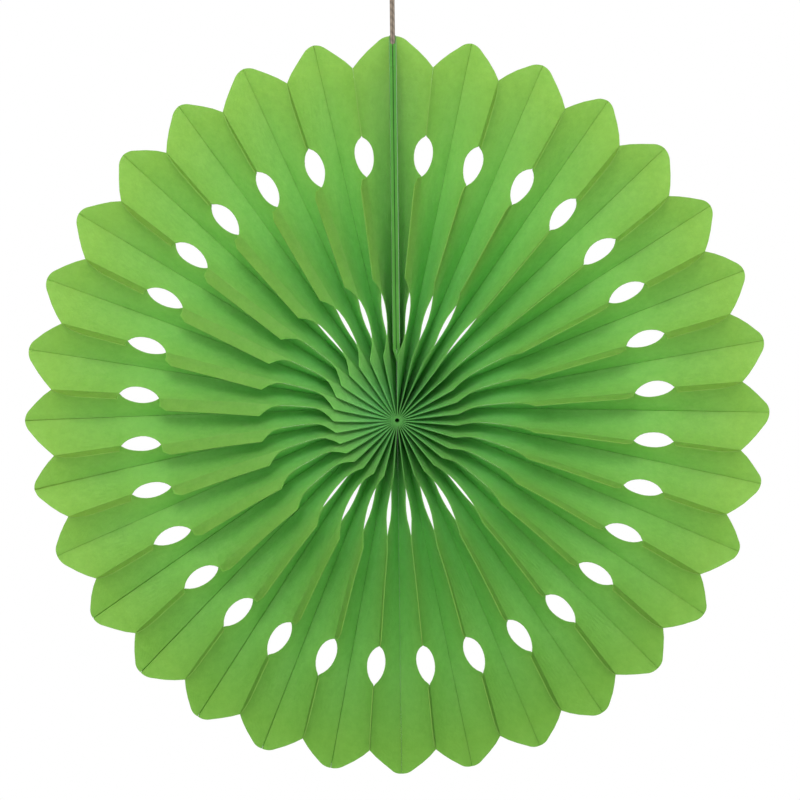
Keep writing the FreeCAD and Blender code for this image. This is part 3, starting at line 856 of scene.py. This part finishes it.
def tube(name, points, radius):
    """A round strand along some points, as a closed mesh."""
    route = bpy.data.curves.new(name, "CURVE")
    route.dimensions = "3D"
    spline = route.splines.new("POLY")
    spline.points.add(len(points) - 1)
    for point, place in zip(spline.points, points):
        point.co = (*place, 1)
    route.bevel_depth = radius
    route.bevel_resolution = 2
    route.use_fill_caps = True
    strand = bpy.data.objects.new(name, route)
    bpy.context.scene.collection.objects.link(strand)
    strand = baked(strand, name)
    tidy_mesh(strand.data)
    return strand


def wound_knot(depth, cotton):
    """The knot: a few tight turns of strand round the string's ends."""
    low, high, half = knot_low[2], knot_high[2], knot_high[0]
    strand = (high - low) / 10
    turns = (high - low - 2 * strand) / (2 * strand)
    wound = half - strand
    count = int(turns * 16)
    coil = []
    for k in range(count + 1):
        share = k / count
        swell = 1 - 0.22 * (2 * share - 1) ** 2
        turn = 2 * math.pi * turns * share
        x = wound * swell * math.cos(turn)
        y = wound * swell * math.sin(turn)
        coil.append((x, depth + y, low + strand + (high - low - 2 * strand) * share))
    core = [(0, depth, low), (0, depth, (low + high) / 2), (0, depth, high)]
    knot = joined(tube("wound_knot", coil, strand), tube("core", core, wound * 0.8))
    knot.data.materials.append(cotton)
    finish_piece(knot, "string", "string_knot")
    return knot


def loop_route(strand):
    """Points of the loop's middle line, as (across, height) above its foot."""
    foot = strand + LOOP_GAP / 2
    crown = loop_high[0] - strand
    middle = loop_high[2] - loop_low[2] - crown - strand
    spread = math.atan2(middle, foot + LOOP_BEND)
    spread -= math.acos((crown + LOOP_BEND) / math.hypot(middle, foot + LOOP_BEND))
    side = []
    for k in range(8):
        turn = spread * k / 7
        side.append((foot + LOOP_BEND * (1 - math.cos(turn)), LOOP_BEND * math.sin(turn)))
    touch = (crown * math.cos(spread), middle - crown * math.sin(spread))
    side += [tuple(a + (b - a) * k / 20 for a, b in zip(side[7], touch)) for k in range(1, 20)]
    arc = []
    for k in range(25):
        turn = -spread + (math.pi + 2 * spread) * k / 24
        arc.append((crown * math.cos(turn), middle + crown * math.sin(turn)))
    return side + arc + [(-x, z) for x, z in reversed(side)]


def twisted_loop(depth, cotton):
    """The loop: two plies twisted round each other along its middle line."""
    strand = (loop_high[1] - loop_low[1]) / 2
    route = loop_route(strand)
    ply = strand * 0.52
    plies = []
    for start in (0, math.pi):
        points = []
        run = 0.0
        for k in range(len(route) - 1):
            (x, z), (next_x, next_z) = route[k], route[k + 1]
            step = math.hypot(next_x - x, next_z - z)
            along = ((next_x - x) / step, (next_z - z) / step)
            for part in range(4):
                share = part / 4
                turn = start + 2 * math.pi * (run + step * share) / LOOP_TWIST
                swing = (strand - ply) * math.cos(turn)
                points.append(
                    (
                        x + (next_x - x) * share - along[1] * swing,
                        depth + (strand - ply) * math.sin(turn),
                        loop_low[2] + z + (next_z - z) * share + along[0] * swing,
                    )
                )
            run += step
        plies.append(tube("twisted_loop", points, ply))
    loop = joined(*plies)
    loop.data.materials.append(cotton)
    finish_piece(loop, "string", "string_loop")
    return loop


class BuildString(bpy.types.Operator):
    """Build the doubled string, its knot and its loop"""

    bl_idname = "paper_fan.string"
    bl_label = "String"

    def execute(self, context):
        colours = context.scene.paper_fan_colours
        cotton = string_material(colours, "twisted cotton", 0)
        doubled = string_material(colours, "doubled cotton", (string_high[0] - string_low[0]) / 4)
        depth = (string_low[1] + string_high[1]) / 2
        start = Vector((0, depth, string_low[2]))
        top = Vector((0, depth, string_high[2]))
        thick = string_high[0] - string_low[0]
        route = bpy.data.curves.new("string_route", "CURVE")
        route.dimensions = "3D"
        spline = route.splines.new("NURBS")
        spline.points.add(3)
        for k in range(4):
            spline.points[k].co = (*start.lerp(top, k / 3), 1)
        spline.order_u = 3
        spline.use_endpoint_u = True
        route.bevel_depth = thick / 2
        route.bevel_resolution = 6
        string = bpy.data.objects.new("doubled_string", route)
        context.scene.collection.objects.link(string)
        route.materials.append(doubled)
        finish_piece(string, "string", "hanging_string")
        knot = wound_knot(depth, cotton)
        loop = twisted_loop(depth, cotton)
        return {"FINISHED"}


def white_to_camera(nodes, links, plain, bright, output):
    """Show one shader to the eye and to mirrors, and let the other light the rest."""
    ray = nodes.new("ShaderNodeLightPath")
    seen = ray.outputs["Is Camera Ray"]
    for name in ("Is Glossy Ray", "Is Transmission Ray"):
        either = nodes.new("ShaderNodeMath")
        either.operation = "MAXIMUM"
        links.new(seen, either.inputs[0])
        links.new(ray.outputs[name], either.inputs[1])
        seen = either.outputs[0]
    mix = nodes.new("ShaderNodeMixShader")
    links.new(seen, mix.inputs[0])
    links.new(plain.outputs[0], mix.inputs[1])
    links.new(bright.outputs[0], mix.inputs[2])
    links.new(mix.outputs[0], output.inputs["Surface"])


class SetStage(bpy.types.Operator):
    """Set the white stage, the soft lights and the camera"""

    bl_idname = "paper_fan.stage"
    bl_label = "Stage"

    def execute(self, context):
        stage = context.scene.paper_fan_stage
        scene = context.scene
        scene.view_settings.view_transform = "Standard"
        white, nodes, links, shader = new_material("white stage")
        shader.inputs["Base Color"].default_value = (0.8, 0.8, 0.8, 1)
        shader.inputs["Roughness"].default_value = 0.9
        glow = nodes.new("ShaderNodeEmission")
        glow.inputs["Strength"].default_value = 1.0
        white_to_camera(nodes, links, shader, glow, nodes["Material Output"])
        sides = (-STAGE_HALF, STAGE_HALF, STAGE_HALF, -STAGE_HALF)
        floor_rows = (-STAGE_HALF, -STAGE_HALF, STAGE_HALF, STAGE_HALF)
        wall_rows = (FLOOR_AT, FLOOR_AT, WALL_TOP, WALL_TOP)
        for name, corners in (
            ("floor", [(x, y, FLOOR_AT) for x, y in zip(sides, floor_rows)]),
            ("backdrop", [(x, WALL_AT, z) for x, z in zip(sides, wall_rows)]),
        ):
            item = piece_from(name, corners, [(0, 1, 2, 3)])
            item.data.materials.append(white)

        world = scene.world or bpy.data.worlds.new("soft world")
        scene.world = world
        world.use_nodes = True
        nodes, links = world.node_tree.nodes, world.node_tree.links
        sky = nodes["Background"]
        sky.inputs["Color"].default_value = (1, 1, 1, 1)
        sky.inputs["Strength"].default_value = 0.98
        bright = nodes.new("ShaderNodeBackground")
        bright.inputs["Color"].default_value = (1, 1, 1, 1)
        white_to_camera(nodes, links, sky, bright, nodes["World Output"])

        for name, place, width, power in LAMPS:
            data = bpy.data.lights.new(name, "AREA")
            data.size = width
            data.energy = power
            lamp = bpy.data.objects.new(name, data)
            lamp.location = place
            lamp.rotation_euler = (-Vector(place)).to_track_quat("-Z", "Y").to_euler()
            scene.collection.objects.link(lamp)

        data = bpy.data.cameras.new("camera")
        data.lens = stage.focal_length
        data.sensor_width = 36.0
        camera = bpy.data.objects.new("camera", data)
        scene.collection.objects.link(camera)
        back = Vector((0, -math.cos(stage.elevation), math.sin(stage.elevation)))
        aim = Vector(CAMERA_AIM)
        turn = (-back).to_track_quat("-Z", "Y").to_matrix().to_4x4()
        roll = Matrix.Rotation(stage.roll, 4, "Z")
        camera.matrix_world = Matrix.Translation(aim + back * stage.distance) @ turn @ roll
        scene.camera = camera
        return {"FINISHED"}


class FanPanel(bpy.types.Panel):
    """Sidebar panel with the steps that build the rosette"""

    bl_idname = "VIEW3D_PT_paper_fan"
    bl_label = "Paper Fan"
    bl_space_type = "VIEW_3D"
    bl_region_type = "UI"
    bl_category = "Paper Fan"

    def draw(self, context):
        for step in STEPS:
            self.layout.operator(step.bl_idname)
        for name in PROPERTY_NAMES:
            group = getattr(context.scene, name)
            box = self.layout.box()
            for key in group.__annotations__:
                box.prop(group, key)


STEPS = (BuildTissue, DressSeam, BuildString, SetStage)
PROPERTY_NAMES = {
    "paper_fan_tissue": TissueSizes,
    "paper_fan_colours": Colours,
    "paper_fan_stage": StageSizes,
}


def register():
    for cls in (*PROPERTY_NAMES.values(), *STEPS, FanPanel):
        bpy.utils.register_class(cls)
    for name, group in PROPERTY_NAMES.items():
        setattr(bpy.types.Scene, name, bpy.props.PointerProperty(type=group))


def unregister():
    for name in PROPERTY_NAMES:
        delattr(bpy.types.Scene, name)
    for cls in reversed((*PROPERTY_NAMES.values(), *STEPS, FanPanel)):
        bpy.utils.unregister_class(cls)


def main():
    register()
    bpy.ops.paper_fan.tissue()
    bpy.ops.paper_fan.seam()
    bpy.ops.paper_fan.string()
    bpy.ops.paper_fan.stage()


if __name__ == "__main__":
    main()
